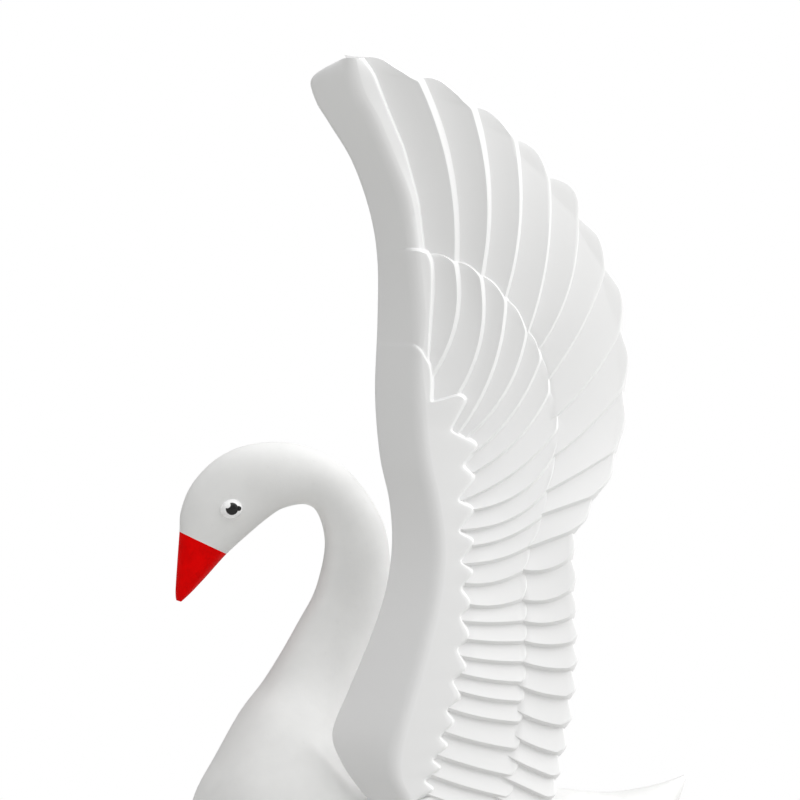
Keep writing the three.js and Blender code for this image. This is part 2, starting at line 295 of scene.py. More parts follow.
# Stations from beak tip to tail tip: (number, upper y, upper z, lower y, lower z, half width).
# The upper line runs over the head, down the nape and along the back, and the lower line
# down the throat and round the breast and belly.
body_station = guide([
    (0, -318, 521, -312, 519, 5),
    (1, -319, 533, -300, 530, 14),
    (2, -317, 566, -282, 549, 23),
    (3, -314, 607, -255, 579, 31),
    (4, -312, 634, -231, 601, 35),
    (5, -298, 667, -210, 619, 40),
    (6, -268, 698, -191, 633, 44),
    (7, -228, 716, -179, 638, 45),
    (8, -181, 719, -166, 641, 43),
    (9, -140, 708, -155, 641, 40),
    (10, -106, 687, -145, 636, 38),
    (11, -80, 657, -138, 624, 37),
    (12, -59, 619, -133, 606, 37),
    (13, -51, 584, -132, 587, 38),
    (14, -51, 547, -136, 562, 39),
    (15, -57, 513, -146, 529, 41),
    (16, -70, 472, -164, 496, 45),
    (17, -86, 430, -186, 457, 54),
    (18, -101, 392, -210, 419, 70),
    (19, -106, 356, -238, 382, 96),
    (20, -94, 325, -269, 327, 122),
    (21, -76, 302, -295, 278, 139),
    (22, -58, 290, -307, 222, 148),
    (23, -40, 286, -300, 166, 152),
    (24, -22, 284, -270, 109, 153),
    (25, -2, 284, -206, 57, 152),
    (26, 22, 286, -112, 22, 150),
    (27, 54, 288, 0, 15, 146),
    (28, 104, 291, 100, 38, 135),
    (29, 162, 286, 186, 97, 114),
    (30, 222, 281, 254, 172, 84),
    (31, 278, 289, 298, 240, 48),
    (32, 318, 302, 321, 296, 5),
])
BODY_STATIONS = 32
PAINT_LINE = 3                   # the station where the beak's enamel ends
BODY_SQUARENESS = 2.2            # 2 gives elliptical sections
NECK_SAG = 0.25                  # how far the widest line of the head and neck lies towards the throat
SAG_STATIONS = (2, 5, 17, 20)    # where that begins, is full, is still full, and ends
BODY_RINGS = 6                   # rings to a station
BODY_SIDES = 96
CUTTER_RINGS = 3                 # and for the plainer copy that trims the wings
CUTTER_SIDES = 64


def body_rings(rings_per_station, sides):
    """Closed sections of the body from the beak's tip to the tail's."""
    stations = np.arange(BODY_STATIONS * rings_per_station + 1) / rings_per_station
    upper_y, upper_z, lower_y, lower_z, half_width = body_station(stations).T[..., None]
    angle = np.arange(sides) / sides * 2 * np.pi
    power = 2 / BODY_SQUARENESS
    up = np.sign(np.cos(angle)) * np.abs(np.cos(angle)) ** power
    out = np.sign(np.sin(angle)) * np.abs(np.sin(angle)) ** power
    sag = np.interp(stations, SAG_STATIONS, (0, NECK_SAG, NECK_SAG, 0))[:, None]
    up = up - sag * (1 - up**2)
    y = (upper_y + lower_y) / 2 + (upper_y - lower_y) / 2 * up
    z = (upper_z + lower_z) / 2 + (upper_z - lower_z) / 2 * up
    return np.stack([half_width * out, y, np.maximum(z, BASE_TOP)], axis=-1)


def build_body(name, rings_per_station, sides):
    """The body as one skin, finer with more rings and sides."""
    points, faces = skin(body_rings(rings_per_station, sides))
    return mesh_object(name, points, faces)


def paint_beak(piece, enamel):
    """Gives the faces in front of the paint line the second material slot."""
    piece.data.materials.append(enamel)
    line = PAINT_LINE * BODY_RINGS * BODY_SIDES
    quads = BODY_STATIONS * BODY_RINGS * BODY_SIDES
    for face in piece.data.polygons:
        if face.index < line or quads <= face.index < quads + BODY_SIDES:
            face.material_index = 1


# ---------------------------------------------------------------- wing

# The ridge behind the wing's leading edge: (height, x, y).
ridge_at = guide([
    (190, 170, -30),
    (330, 180, -48),
    (450, 175, -14),
    (600, 170, 8),
    (750, 174, -19),
    (900, 189, -25),
    (1050, 216, -50),
    (1200, 254, -106),
])
# Behind the ridge the face turns in towards the back, the more the further back.
WING_SWEEP = 0.15
WING_CURL = 0.0006

# The bar steps up over the first covert and again over the shoulder.
SHOULDER_HEIGHT = 15
SHOULDER_EDGE = 13
TIER_STATIONS = (5.9, 5.94, 7.3, 7.34)
TIER_HEIGHTS = (9, 12, 12, SHOULDER_HEIGHT)
UPPER_EDGE = 0.7          # the sloping edge's width above the first step, as a share
RIDGE_ROUND = 12.0
CROWN_FALL = 0.4          # the share of the fall from ridge to border that the round takes
BAR_SETBACK = 8.0         # how far the bar's inner side lies in from its front edge
BAR_COLUMNS = (0.0, 0.3, 0.6, 0.85)
# The bar's long corners: (corner, radius, most of a side that the round may take).
BAR_ROUNDS = ((1, 7.0, 0.45), (2, 9.0, 0.45), (3, RIDGE_ROUND, 1.0))
# Depths of the bar's underside, below its border and half way to its ridge.
BAR_UNDERSIDE = (-10.0, -14.0)

# Leading edge, by station from the wing tip down to the shoulder and back along the flank:
# (station, front y, z, ridge y, z, depth from ridge to front edge).
leading_edge = guide([
    (0, -112, 1196, -104, 1198, 34),
    (1, -149, 1174, -99, 1175, 42),
    (2, -146, 1149, -91, 1150, 46),
    (3, -128, 1119, -75, 1122, 50),
    (4, -100, 1072, -57, 1080, 52),
    (5, -78, 1009, -34, 1022, 54),
    (6, -68, 947, -24, 955, 55),
    (7, -68, 870, -17, 870, 55),
    (8, -71, 780, -17, 780, 55),
    (9, -65, 703, -10, 700, 56),
    (10, -53, 645, 1, 645, 58),
    (11, -50, 590, 8, 590, 60),
    (12, -58, 533, 4, 533, 64),
    (13, -77, 475, -8, 475, 70),
    (14, -103, 412, -25, 412, 78),
    (15, -124, 358, -42, 352, 86),
    (16, -114, 322, -48, 314, 84),
    (17, -90, 286, -40, 284, 74),
    (18, -54, 248, -18, 256, 62),
    (19, -8, 214, 14, 228, 50),
    (20, 46, 196, 60, 214, 42),
    (21, 104, 204, 106, 220, 36),
])

# The free edge of each flight feather, from under the coverts to the wing's rim, by feather
# number from the top: (number, root y, root z, tip y, tip z, bow), and for its rounded end
# how full the corner at the free edge is and how high the other side rises.
flight_edge = guide([
    (1, -10, 959, -80, 1197, 16, 0, 0.4),
    (2, 34, 944, -12, 1172, 15, 0, 0.4),
    (3, 67, 928, 54, 1138, 14, 0.25, 0.4),
    (4, 97, 903, 107, 1099, 12, 0.3, 0.32),
    (5, 126, 862, 150, 1049, 10, 0.6, 0.3),
    (6, 141, 840, 187, 999, 13, 1.2, 0.45),
    (7, 152, 801, 221, 933, 6, 0.5, 0.3),
    (8, 159, 751, 239, 857, 6, 0.55, 0.3),
    (9, 159, 703, 241, 783, 4, 0.45, 0.25),
    (10, 147, 657, 230, 705, 1, 0.35, 0.2),
    (11, 140, 627, 203, 649, 0, 0.5, 0.25),
    (12, 124, 586, 178, 606, 0, 0.55, 0.15),
    (13, 117, 557, 176, 573, 7, 0.5, 0.2),
    (14, 121, 519, 177, 533, 6, 0.5, 0.2),
    (17, 119, 441, 177, 434, 3, 0.5, 0.2),
    (20, 110, 347, 160, 328, 2, 0.5, 0.2),
    (22, 96, 296, 148, 272, 0, 0.5, 0.2),
    (24, 70, 250, 120, 222, 0, 0.5, 0.2),
])
FLIGHT_COUNT = 24

# The same for the coverts, which lie over the flight feathers' roots.
covert_edge = guide([
    (1, -7, 838, -2, 953, 9, 0.25, 0.25),
    (2, 11, 812, 33, 944, 13, 0.25, 0.25),
    (3, 38, 781, 65, 927, 14, 0.25, 0.25),
    (4, 45, 741, 96, 897, 12, 0.25, 0.25),
    (5, 56, 732, 122, 858, 12, 0.25, 0.25),
    (6, 44, 696, 140, 824, 13, 0.25, 0.25),
    (7, 57, 681, 150, 781, 11, 0.25, 0.25),
    (8, 45, 647, 160, 734, 10, 0.25, 0.25),
    (9, 59, 634, 156, 702, 14, 0.25, 0.25),
    (10, 50, 609, 146, 656, 11, 0.25, 0.25),
    (11, 54, 588, 139, 624, 7, 0.25, 0.25),
    (12, 56, 566, 124, 587, 4, 0.25, 0.25),
    (13, 41, 541, 117, 557, 7, 0.25, 0.25),
    (14, 50, 514, 117, 522, 5, 0.25, 0.25),
    (15, 46, 493, 118, 494, 2, 0.25, 0.25),
    (18, 46, 426, 116, 417, 2, 0.25, 0.25),
    (20, 25, 384, 112, 367, 3, 0.25, 0.25),
    (22, -10, 334, 103, 300, 3, 0.25, 0.25),
    (24, -24, 286, 90, 250, 3, 0.25, 0.25),
])
COVERT_COUNT = 24

# Heights over the wing's smooth face: (number, inner side, free edge, width of its wall,
# how far the tip curls in).
flight_relief = guide([
    (2, -5, 4, 8, 2),
    (3, -3.5, 4, 7.5, 6),
    (4, -2, 3.5, 6, 10),
    (5, -1.5, 3.2, 5, 13),
    (6, -1.5, 3, 5, 13),
    (7, -1.5, 3, 5, 10),
    (9, -2, 3, 5, 4),
    (12, -2.5, 4, 7, 0),
    (24, -2.5, 4, 7, 0),
])

# (number, inner side, free edge, width of its wall, how far the tip stands over the flights).
covert_relief = guide([
    (2, 3, 9.5, 7.5, 5),
    (4, 4, 9.5, 6.5, 4),
    (6, 4, 9, 5, 2),
    (9, 3.5, 9.5, 5, 0.6),
    (13, 4.5, 11, 7, 0.8),
    (24, 4.5, 11, 7, 0.8),
])

# The rear border of the bar above the teeth: (y, z, station, height over the face, corner radius).
BORDER_TOP = (
    (-84, 1197, 0.0, 3, 9),
    (-70, 1179, 1.0, 3, 9),
    (-62, 1158, 2.0, 3, 9),
    (-50, 1128, 3.0, 3, 9),
    (-32, 1085, 4.0, 3, 9),
    (-14, 1020, 5.0, 3, 9),
    (-8, 972, 5.74, 3, 6),
    (-7, 960, 5.9, 3, 1),
    (-4, 957, 5.93, 11, 1),
    (3, 945, 6.1, 11, 9),
    (4, 915, 6.5, 11, 20),
    (1, 868, 7.02, 11, 20),
    (-1, 822, 7.3, 11, 3),
    (0, 818, 7.34, 14, 1),
    (2, 810, 7.4, 14, 5),
    (3, 800, 7.53, 14, 12),
)
# The first, larger tooth: the same, with the height on the ridge in place of the station.
BORDER_HOOK = (
    (2, 768, 772, 14, 5),
    (36, 781, 756, 14, 8),
    (46, 773, 750, 14, 4),
    (26, 734, 740, SHOULDER_EDGE, 4),
)
# The border below the teeth, as for the top.
BORDER_FOOT = (
    (6, 281, 18.6, 7, 8),
    (36, 272, 19.1, 6, 12),
    (72, 258, 20.0, 5, 12),
    (112, 238, 21.0, 4, 9),
)

# The tip of each tooth and the notch below it, from the top: (number, y, z).
tooth_tip = guide([
    (2, 62, 717),
    (3, 57, 678),
    (5, 58, 597),
    (7, 54, 519),
    (9, 48, 437),
    (11, 33, 370),
    (14, 8, 286),
])
tooth_notch = guide([
    (2, 41, 690),
    (3, 35, 647),
    (5, 38, 571),
    (7, 38, 502),
    (9, 28, 422),
    (11, 12, 352),
    (14, -18, 272),
])
TOOTH_COUNT = 14
TIP_ROUND = 8
NOTCH_ROUND = 4
TIP_LIFT = 10             # the ridge beside a tooth's tip lies this much lower, and beside
NOTCH_LIFT = 4            # a notch this much higher

# Roots of the lining inside the wing, by flight feather number.
lining_hub = guide([
    (0, -60, 1010),
    (2, -14, 800),
    (6, 0, 720),
    (9, 8, 660),
    (12, 12, 600),
    (15, 5, 520),
    (18, -12, 440),
    (20, -25, 390),
    (22, -26, 340),
    (24, -6, 282),
])


def wing_face(place):
    """The x of the wing's smooth outer face at points (y, z)."""
    ridge_x, ridge_y = np.moveaxis(ridge_at(place[..., 1]), -1, 0)
    behind = np.maximum(place[..., 0] - ridge_y, 0)
    return ridge_x - WING_SWEEP * behind - WING_CURL * behind**2


def on_wing(place, height):
    """Points at a height over the wing's smooth face."""
    x = wing_face(place) + height
    return np.concatenate([x[..., None], place[..., :2]], axis=-1)


def edge_points(edge, number, along):
    """Points along a feather's free edge: `along` is 0 at the root mark and 1 at the tip."""
    root_y, root_z, tip_y, tip_z, bow = edge(number)[:5]
    chord = np.array([tip_y - root_y, tip_z - root_z])
    across = np.array([chord[1], -chord[0]]) / np.linalg.norm(chord)
    along = np.asarray(along)[:, None]
    curve = np.where(along > 0, along * (1 - along), along)
    return np.array([root_y, root_z]) + chord * along + across * 4 * bow * curve


# The profile of a sloping edge, as shares of its width and of its fall.
LIP = ((0.0, 0.0), (0.15, 0.06), (0.35, 0.3), (0.65, 0.68), (1.0, 1.0))
# Where the columns of a feather's face lie, between its inner path and that edge.
COLUMNS = (0.0, 0.2, 0.4, 0.6, 0.8, 0.92)
# A feather's hidden side: its foot draws in twice, and its back slopes down to the inner path.
FOOT_DRAFT = (0.3, 1.2)
FOOT_RISE = 0.6
BACK_SLOPE = 2.0


def relief(outline, inner, front_height, edge_height, wall, bottom, curve):
    """Rings of a raised plate between an inner path and its free outline, with a sloping edge.

    `wall` holds the width of that edge, its fall, and how much of it lies outside the outline.
    `curve` shapes the rise from the inner path to the edge: 1 is straight, and more is hollow.
    """
    width, fall, outside = wall
    span = np.linalg.norm(outline - inner, axis=1)
    width = np.minimum(width, 0.8 * span)[:, None]
    normal = outward_normals(outline, inner)
    crest = outline - normal * width * (1 - outside)[:, None]
    rings = []
    for column in COLUMNS:
        rings.append(on_wing(mix(inner, crest, column), mix(front_height, edge_height, column**curve)))
    for across, down in LIP:
        rings.append(on_wing(crest + normal * width * across, edge_height - fall * down))
    foot = crest + normal * width
    level = np.ones(len(outline))
    rings += [
        on_wing(foot - normal * FOOT_DRAFT[0], mix(edge_height - fall, bottom, 0.6)),
        on_wing(foot - normal * FOOT_DRAFT[1], level * (bottom + FOOT_RISE)),
        on_wing(crest, level * bottom),
        on_wing(mix(inner, crest, 0.5), level * (bottom - BACK_SLOPE / 2)),
        on_wing(inner, level * (bottom - BACK_SLOPE)),
    ]
    return np.stack(rings, axis=1)


def unit(vector):
    """The vector, or each of the vectors, at length 1."""
    return vector / np.maximum(np.linalg.norm(vector, axis=-1, keepdims=True), 1e-6)


# A feather's rounded end is one curve from its tip to under the feather above. Its handles
# are shares of the feather's width.
RIM_HANDLE = 0.7
RIM_RETURN = 0.6
RIM_TUCK = 5.0            # how far the end runs under the feather above
WALL_CHANGE = 6           # the edge takes on the rim's own wall over 1/6 of the end
SPACING = 3.5             # between the points of a feather's outline

# The inner path runs along the feather above to this share of it, then on to the second
# share along the rounded end. It lies this far under, at the root and at the tip.
INNER_TURN = 0.9
INNER_END = 0.97
OVERLAP = (5.0, 5.0)


def feather_outline(edge, number, start):
    """A feather's free edge and rounded end as points (y, z, along, share of the end passed)."""
    along = np.linspace(start, 1, 40)
    free = edge_points(edge, number, along)
    before = edge_points(edge, number - 1, along)
    tip, tip_before = free[-1], before[-1]
    width = np.linalg.norm(tip_before - tip)
    back = unit(tip_before - tip)
    fullness, crown = edge(number)[5:]
    leave = unit(mix(back, unit(free[-1] - free[-2]), fullness))
    arrive = unit(before[-1] - before[-2])
    tucked = tip_before + back * RIM_TUCK
    handle = tip + leave * width * RIM_HANDLE
    far_handle = tip_before + (arrive * crown - back * RIM_RETURN) * width
    t = np.linspace(0, 1, 24)[:, None]
    rim = ((1 - t) ** 3 * tip + 3 * (1 - t) ** 2 * t * handle
           + 3 * (1 - t) * t**2 * far_handle + t**3 * tucked)
    free = np.column_stack([free, along, np.zeros(len(along))])
    rim = np.column_stack([rim, np.ones(len(t)), t])
    return smoothed(respaced(np.concatenate([free, rim[1:]]), SPACING), 2)


def feather(edge, number, start, heights, wall, rim_wall, bottom, curve, overlap):
    """One feather from under the one above to its own free edge, with a rounded tip."""
    outline = feather_outline(edge, number, start)
    along, end = outline[:, 2], outline[:, 3]
    inner_along = np.where(end > 0, mix(INNER_TURN, INNER_END, end),
                           mix(start, INNER_TURN, (along - start) / (1 - start)))
    inner = edge_points(edge, number - 1, inner_along)
    reach = mix(overlap[0], overlap[1], np.maximum(inner_along, 0))[:, None]
    inner = inner + unit(inner - edge_points(edge, number, inner_along)) * reach
    low = heights(number, inner_along)[0]
    low_here, high_here = heights(number, along)
    edge_height = mix(low_here, high_here, (1 - end)**curve)
    at_rim = np.clip(end * WALL_CHANGE, 0, 1)
    walls = [mix(value, rim_value, at_rim) for value, rim_value in zip(wall, rim_wall)]
    return relief(outline[:, :2], inner, low, edge_height, walls, bottom, curve)


ROOT_DIP = 18             # fall of a flight feather's root under the coverts, over a whole length
COVERT_SINK = 0.1         # the share of a covert's length where it starts to sink


def flight_heights(number, along):
    """Heights of a flight feather's inner side and free edge, which fall at the tip and the root."""
    low, high, _, curl = flight_relief(number)
    sink = curl * np.maximum(along, 0) ** 2 + ROOT_DIP * np.maximum(-along, 0)
    return low - sink, high - sink


def covert_heights(number, along):
    """The same for a covert, which sinks towards its tip to lie close over the flight feathers."""
    low, high, _, stand = covert_relief(number)
    low_below, high_below = flight_relief(number)[:2]
    t = np.clip((along - COVERT_SINK) / (1 - COVERT_SINK), 0, 1)
    return mix(low, low_below + stand, t), mix(high, high_below + stand, t)


def station_at(height):
    """The leading edge's station whose ridge is at this height."""
    stations = np.linspace(0, 18, 200)
    return float(np.interp(-height, -leading_edge(stations)[:, 3], stations))


def shoulder_outline():
    """The rear border of the leading edge: (y, z, station, height), from the wing tip down."""
    corners = list(BORDER_TOP)
    corners += [(y, z, station_at(level), *rest) for y, z, level, *rest in BORDER_HOOK]
    for tooth in range(2, TOOTH_COUNT + 1):
        tip_y, tip_z = tooth_tip(tooth)
        notch_y, notch_z = tooth_notch(tooth)
        corners.append((tip_y, tip_z, station_at(tip_z - TIP_LIFT), SHOULDER_EDGE, TIP_ROUND))
        corners.append((notch_y, notch_z, station_at(notch_z + NOTCH_LIFT), SHOULDER_EDGE, NOTCH_ROUND))
    corners = np.array(corners + list(BORDER_FOOT), float)
    return rounded_path(corners[:, :4], corners[:, 4])


def leading_rings(sizes):
    """The bar along the front of the wing, with the smooth shoulder behind its ridge."""
    outline = respaced(shoulder_outline(), 3.0)
    station, edge_height = outline[:, 2], outline[:, 3]
    outline = outline[:, :2]
    front_y, front_z, ridge_y, ridge_z, depth = leading_edge(station).T
    front = np.stack([front_y, front_z], axis=1)
    ridge = np.stack([ridge_y, ridge_z], axis=1)
    ridge_height = np.interp(station, TIER_STATIONS, TIER_HEIGHTS)
    ridge_x = wing_face(ridge) + ridge_height
    front_x = wing_face(ridge) + SHOULDER_HEIGHT - depth
    lead = unit(ridge - front)

    def at(place, x):
        return np.concatenate([x[:, None], place], axis=1)

    normal = outward_normals(outline, ridge)
    span = np.linalg.norm(outline - ridge, axis=1)
    share = np.where(station < TIER_STATIONS[0], UPPER_EDGE, 1.0)
    width = np.minimum(sizes.edge_run * share, 0.5 * span)[:, None]
    crest = outline - normal * width * 0.5
    crown = ridge + unit(outline - ridge) * np.minimum(RIDGE_ROUND, 0.6 * span)[:, None]
    crown_height = mix(ridge_height, edge_height, CROWN_FALL)
    inner_x = front_x - BAR_SETBACK
    corners = np.stack([
        at(ridge, inner_x),
        at(front + lead * BAR_SETBACK, inner_x),
        at(front, front_x),
        at(ridge, ridge_x),
        at(crown, wing_face(crown) + crown_height),
    ], axis=1)
    rings = [corners[:, 0], mix(corners[:, 0], corners[:, 1], 0.5)]
    for corner, radius, most in BAR_ROUNDS:
        here = corners[:, corner]
        ends = []
        for other in (corners[:, corner - 1], corners[:, corner + 1]):
            reach = np.minimum(most, radius / np.maximum(np.linalg.norm(other - here, axis=1), 1e-6))
            ends.append(here + (other - here) * reach[:, None])
        for t in np.linspace(0, 1, 6):
            rings.append(mix(mix(ends[0], here, t), mix(here, ends[1], t), t))
    for column in BAR_COLUMNS:
        rings.append(on_wing(mix(crown, crest, column), mix(crown_height, edge_height, column)))
    for across, down in LIP:
        rings.append(on_wing(crest + normal * width * across, edge_height - sizes.edge_drop * down))
    rings.append(on_wing(outline, np.full(len(outline), BAR_UNDERSIDE[0])))
    rings.append(on_wing(mix(ridge, crest, 0.5), np.full(len(outline), BAR_UNDERSIDE[1])))
    return np.stack(rings, axis=1)


LINING_SECTIONS = 140
LINING_REACH = 0.38       # the share of the flight feathers that the lining covers
LINING_DEPTH = -5.0       # of its hidden outer side
LINING_STEP = 5           # how far it stands in from the feathers' backs
# Its outer side and its inner side, as shares of the way from the hub to the rim, the
# second with heights over its level.
LINING_OUTSIDE = (0.0, 0.35, 0.7, 0.98)
LINING_INSIDE = ((1.0, 6), (0.99, 2), (0.95, 0), (0.6, -2), (0.3, -2), (0.0, 0))


def lining_rings(sizes):
    """The plate behind the feathers, which shows as a smooth lining on the inner side."""
    numbers = np.linspace(1, FLIGHT_COUNT, LINING_SECTIONS)
    hub = lining_hub(numbers)
    root_y, root_z, tip_y, tip_z = flight_edge(numbers).T[:4]
    rim = np.stack([mix(root_y, tip_y, LINING_REACH), mix(root_z, tip_z, LINING_REACH)], axis=1)
    level = -sizes.wing_thickness - LINING_STEP
    places = [(part, LINING_DEPTH) for part in LINING_OUTSIDE]
    places += [(part, level + rise) for part, rise in LINING_INSIDE]
    rings = [on_wing(mix(hub, rim, part), np.full(len(numbers), height)) for part, height in places]
    return np.stack(rings, axis=1)


# How the feathers fit together, by number: where they start along their length, under the
# plumage above, and the curve of their faces. The uppermost reaches further under the bar.
FLIGHT_START = ((13, 17), (-0.12, -0.3))
FLIGHT_CURVE = ((9, 13), (2.2, 1.2))
FLIGHT_OVERLAP = (23.0, 33.0)
FLIGHT_RIM = (2.0, 4.0, 0.0)
COVERT_START = ((19, 20, 24), (-0.3, -0.12, -0.16))
COVERT_CURVE = ((9, 13), (1.8, 1.2))
COVERT_OVERLAP = (10.0, 10.0)
COVERT_RIM = 3.5          # width of the wall round a covert's end
COVERT_BOTTOM = -8.0
OUTSIDE = 0.5             # the share of a sloping edge that lies outside the feather's outline


def build_wing(name, sizes, body):
    """The left wing in one piece, cut to the body's flank."""
    fall = sizes.edge_drop
    plumage = (
        (flight_edge, flight_relief, flight_heights, FLIGHT_COUNT, FLIGHT_START, FLIGHT_CURVE,
         FLIGHT_OVERLAP, FLIGHT_RIM, -sizes.wing_thickness),
        (covert_edge, covert_relief, covert_heights, COVERT_COUNT, COVERT_START, COVERT_CURVE,
         COVERT_OVERLAP, (COVERT_RIM, fall, OUTSIDE), COVERT_BOTTOM),
    )
    skins = [leading_rings(sizes), lining_rings(sizes)]
    for edge, marks, heights, count, starts, curves, first_overlap, rim_wall, bottom in plumage:
        for number in range(2, count + 1):
            start, curve = np.interp(number, *starts), np.interp(number, *curves)
            wall = (marks(number)[2], fall, OUTSIDE)
            overlap = first_overlap if number == 2 else OVERLAP
            skins.append(feather(edge, number, start, heights, wall, rim_wall, bottom, curve, overlap))
    parts = [mesh_object(f"{name}_{i}", *skin(rings)) for i, rings in enumerate(skins)]
    wing = joined(name, parts)
    cut(wing, body)
    return wing


def mirrored(piece, name):
    """A copy of the piece on the swan's other side."""
    copy = piece.copy()
    copy.data = piece.data.copy()
    copy.name = name
    copy.data.name = name
    bpy.context.scene.collection.objects.link(copy)
    count = len(copy.data.vertices)
    points = np.empty(count * 3, np.float32)
    copy.data.vertices.foreach_get("co", points)
    points[0::3] *= -1
    copy.data.vertices.foreach_set("co", points)
    copy.data.flip_normals()
    copy.data.update()
    return copy


# ---------------------------------------------------------------- eyes and base

EYE_LENGTH, EYE_HEIGHT = 30.0, 25.0
EYE_TILT = 0.35           # in radians, its back end up
EYE_SIDES = 64
BASE_ROUND = 9.0
BASE_SIDES = 160


def build_eye(name, side):
    """A shallow dome glued to the head: rings from its middle out to its rim, then its back."""
    low, high = EYE_BOX
    middle = (low + high) / 2
    bulge = high.x - low.x
    rings = []
    profile = [(r, bulge * math.sqrt(max(1 - r**2.2, 0))) for r in np.linspace(0.04, 1, 18)]
    profile += [(1.0, -2.0), (0.9, -6.0)]
    angle = np.arange(EYE_SIDES) / EYE_SIDES * 2 * np.pi
    for reach, rise in profile:
        u = np.cos(angle) * EYE_LENGTH / 2 * reach
        v = np.sin(angle) * EYE_HEIGHT / 2 * reach
        y = middle.y + u * math.cos(EYE_TILT) - v * math.sin(EYE_TILT)
        z = middle.z + u * math.sin(EYE_TILT) + v * math.cos(EYE_TILT)
        x = np.full(EYE_SIDES, side * (low.x + rise))
        rings.append(np.stack([x, y, z], axis=1))
    return mesh_object(name, *skin(np.array(rings)))


def build_base(name):
    """A low oval plinth with a rounded top edge."""
    low, high = [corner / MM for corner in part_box("base")]
    turn = np.arange(BASE_SIDES) / BASE_SIDES * 2 * np.pi
    rings = []

    def ring(inset, z):
        x = (high.x - inset) * np.cos(turn)
        y = (high.y - inset) * np.sin(turn)
        rings.append(np.stack([x, y, np.full(BASE_SIDES, z)], axis=1))

    ring(high.x * 0.6, low.z)
    ring(2.0, low.z)
    ring(0.0, low.z + 2.0)
    for angle in np.linspace(0, math.pi / 2, 8):
        ring(BASE_ROUND * (1 - math.cos(angle)), high.z - BASE_ROUND * (1 - math.sin(angle)))
    ring(BASE_ROUND * 2.5, high.z)
    ring(high.x * 0.6, high.z)
    return mesh_object(name, *skin(np.array(rings)))


# ---------------------------------------------------------------- materials

def add_node(tree, kind, settings=(), links=()):
    """Adds a node, sets its properties and inputs, and links its inputs from other sockets."""
    node = tree.nodes.new(kind)
    for key, value in dict(settings).items():
        if isinstance(key, str) and hasattr(node, key):
            setattr(node, key, value)
        else:
            node.inputs[key].default_value = value
    for key, socket in dict(links).items():
        tree.links.new(socket, node.inputs[key])
    return node


def new_material(name):
    """An empty node material, and its tree."""
    material = bpy.data.materials.new(name)
    material.use_nodes = True
    material.node_tree.nodes.clear()
    return material, material.node_tree


def shader_output(tree, shader):
    """Links a shader to the material's surface."""
    add_node(tree, "ShaderNodeOutputMaterial", links={"Surface": shader.outputs["BSDF"]})


def per_metre(size_mm):
    """Texture scale whose features are about this many millimetres across."""
    return 1 / (size_mm * MM)


def moulded_gelcoat(finishes):
    """White polyester gelcoat, sprayed in a mould and left matt: faintly clouded, specked and dented."""
    material, tree = new_material("moulded_white_gelcoat")
    place = add_node(tree, "ShaderNodeTexCoord").outputs["Object"]
    clouds = add_node(tree, "ShaderNodeTexNoise",
                      {"Scale": per_metre(90), "Detail": 4.0, "Roughness": 0.55}, {"Vector": place})
    base = np.array(finishes.gelcoat)
    shade = np.append(base[:3] * 0.93, 1)
    tone = add_node(tree, "ShaderNodeValToRGB", links={"Fac": clouds.outputs["Fac"]})
    tone.color_ramp.elements[0].position = 0.3
    tone.color_ramp.elements[0].color = shade
    tone.color_ramp.elements[1].position = 0.6
    tone.color_ramp.elements[1].color = base
    specks = add_node(tree, "ShaderNodeTexNoise",
                      {"Scale": per_metre(16), "Detail": 2.0}, {"Vector": place})
    speck_mask = add_node(tree, "ShaderNodeMapRange",
                          {"From Min": 0.7, "From Max": 0.78, "To Min": 0.0, "To Max": 0.12},
                          {"Value": specks.outputs["Fac"]})
    mixed = add_node(tree, "ShaderNodeMix", {"data_type": "RGBA"},
                     {0: speck_mask.outputs["Result"], 6: tone.outputs["Color"]})
    mixed.inputs[7].default_value = finishes.speck
    dents = add_node(tree, "ShaderNodeTexNoise",
                     {"Scale": per_metre(22), "Detail": 3.0}, {"Vector": place})
    stipple = add_node(tree, "ShaderNodeTexNoise",
                       {"Scale": per_metre(2.2), "Detail": 2.0}, {"Vector": place})
    coarse = add_node(tree, "ShaderNodeBump", {"Strength": 0.25, "Distance": 1.2 * MM},
                      {"Height": dents.outputs["Fac"]})
    fine = add_node(tree, "ShaderNodeBump", {"Strength": 0.18, "Distance": 0.25 * MM},
                    {"Height": stipple.outputs["Fac"], "Normal": coarse.outputs["Normal"]})
    shader = add_node(tree, "ShaderNodeBsdfPrincipled", {"Roughness": 0.62, "IOR": 1.5},
                      {"Base Color": mixed.outputs[2], "Normal": fine.outputs["Normal"]})
    shader_output(tree, shader)
    return material


def brushed_enamel(finishes):
    """Red enamel brushed on the beak: nearly matt, a little darker where the coats overlap."""
    material, tree = new_material("brushed_red_enamel")
    place = add_node(tree, "ShaderNodeTexCoord").outputs["Object"]
    streaks = add_node(tree, "ShaderNodeTexNoise",
                       {"Scale": per_metre(14), "Detail": 3.0, "Distortion": 0.4}, {"Vector": place})
    tone = add_node(tree, "ShaderNodeValToRGB", links={"Fac": streaks.outputs["Fac"]})
    tone.color_ramp.elements[0].position = 0.32
    tone.color_ramp.elements[0].color = mix(np.array(finishes.beak_edge), np.array(finishes.beak), 0.5)
    tone.color_ramp.elements[1].position = 0.62
    tone.color_ramp.elements[1].color = finishes.beak
    bump = add_node(tree, "ShaderNodeBump", {"Strength": 0.3, "Distance": 0.3 * MM},
                    {"Height": streaks.outputs["Fac"]})
    shader = add_node(tree, "ShaderNodeBsdfPrincipled", {"Roughness": 0.5, "Specular IOR Level": 0.04},
                      {"Base Color": tone.outputs["Color"], "Normal": bump.outputs["Normal"]})
    shader_output(tree, shader)
    return material


# Discs painted on the eye, in mm from its middle: (towards the tail, up, radius).
PUPIL_PLACE = (0.5, 0.0)
PUPIL_LOBE = (9.0, 0.5, 3.4)
# The white disc is a painted highlight. It stands in for the lamps' reflection on the glossy dome and
# stays put from every side.
PAINTED_HIGHLIGHT = (-5.5, 5.0, 4.4)
PAINT_EDGE = 0.4          # width of their edges


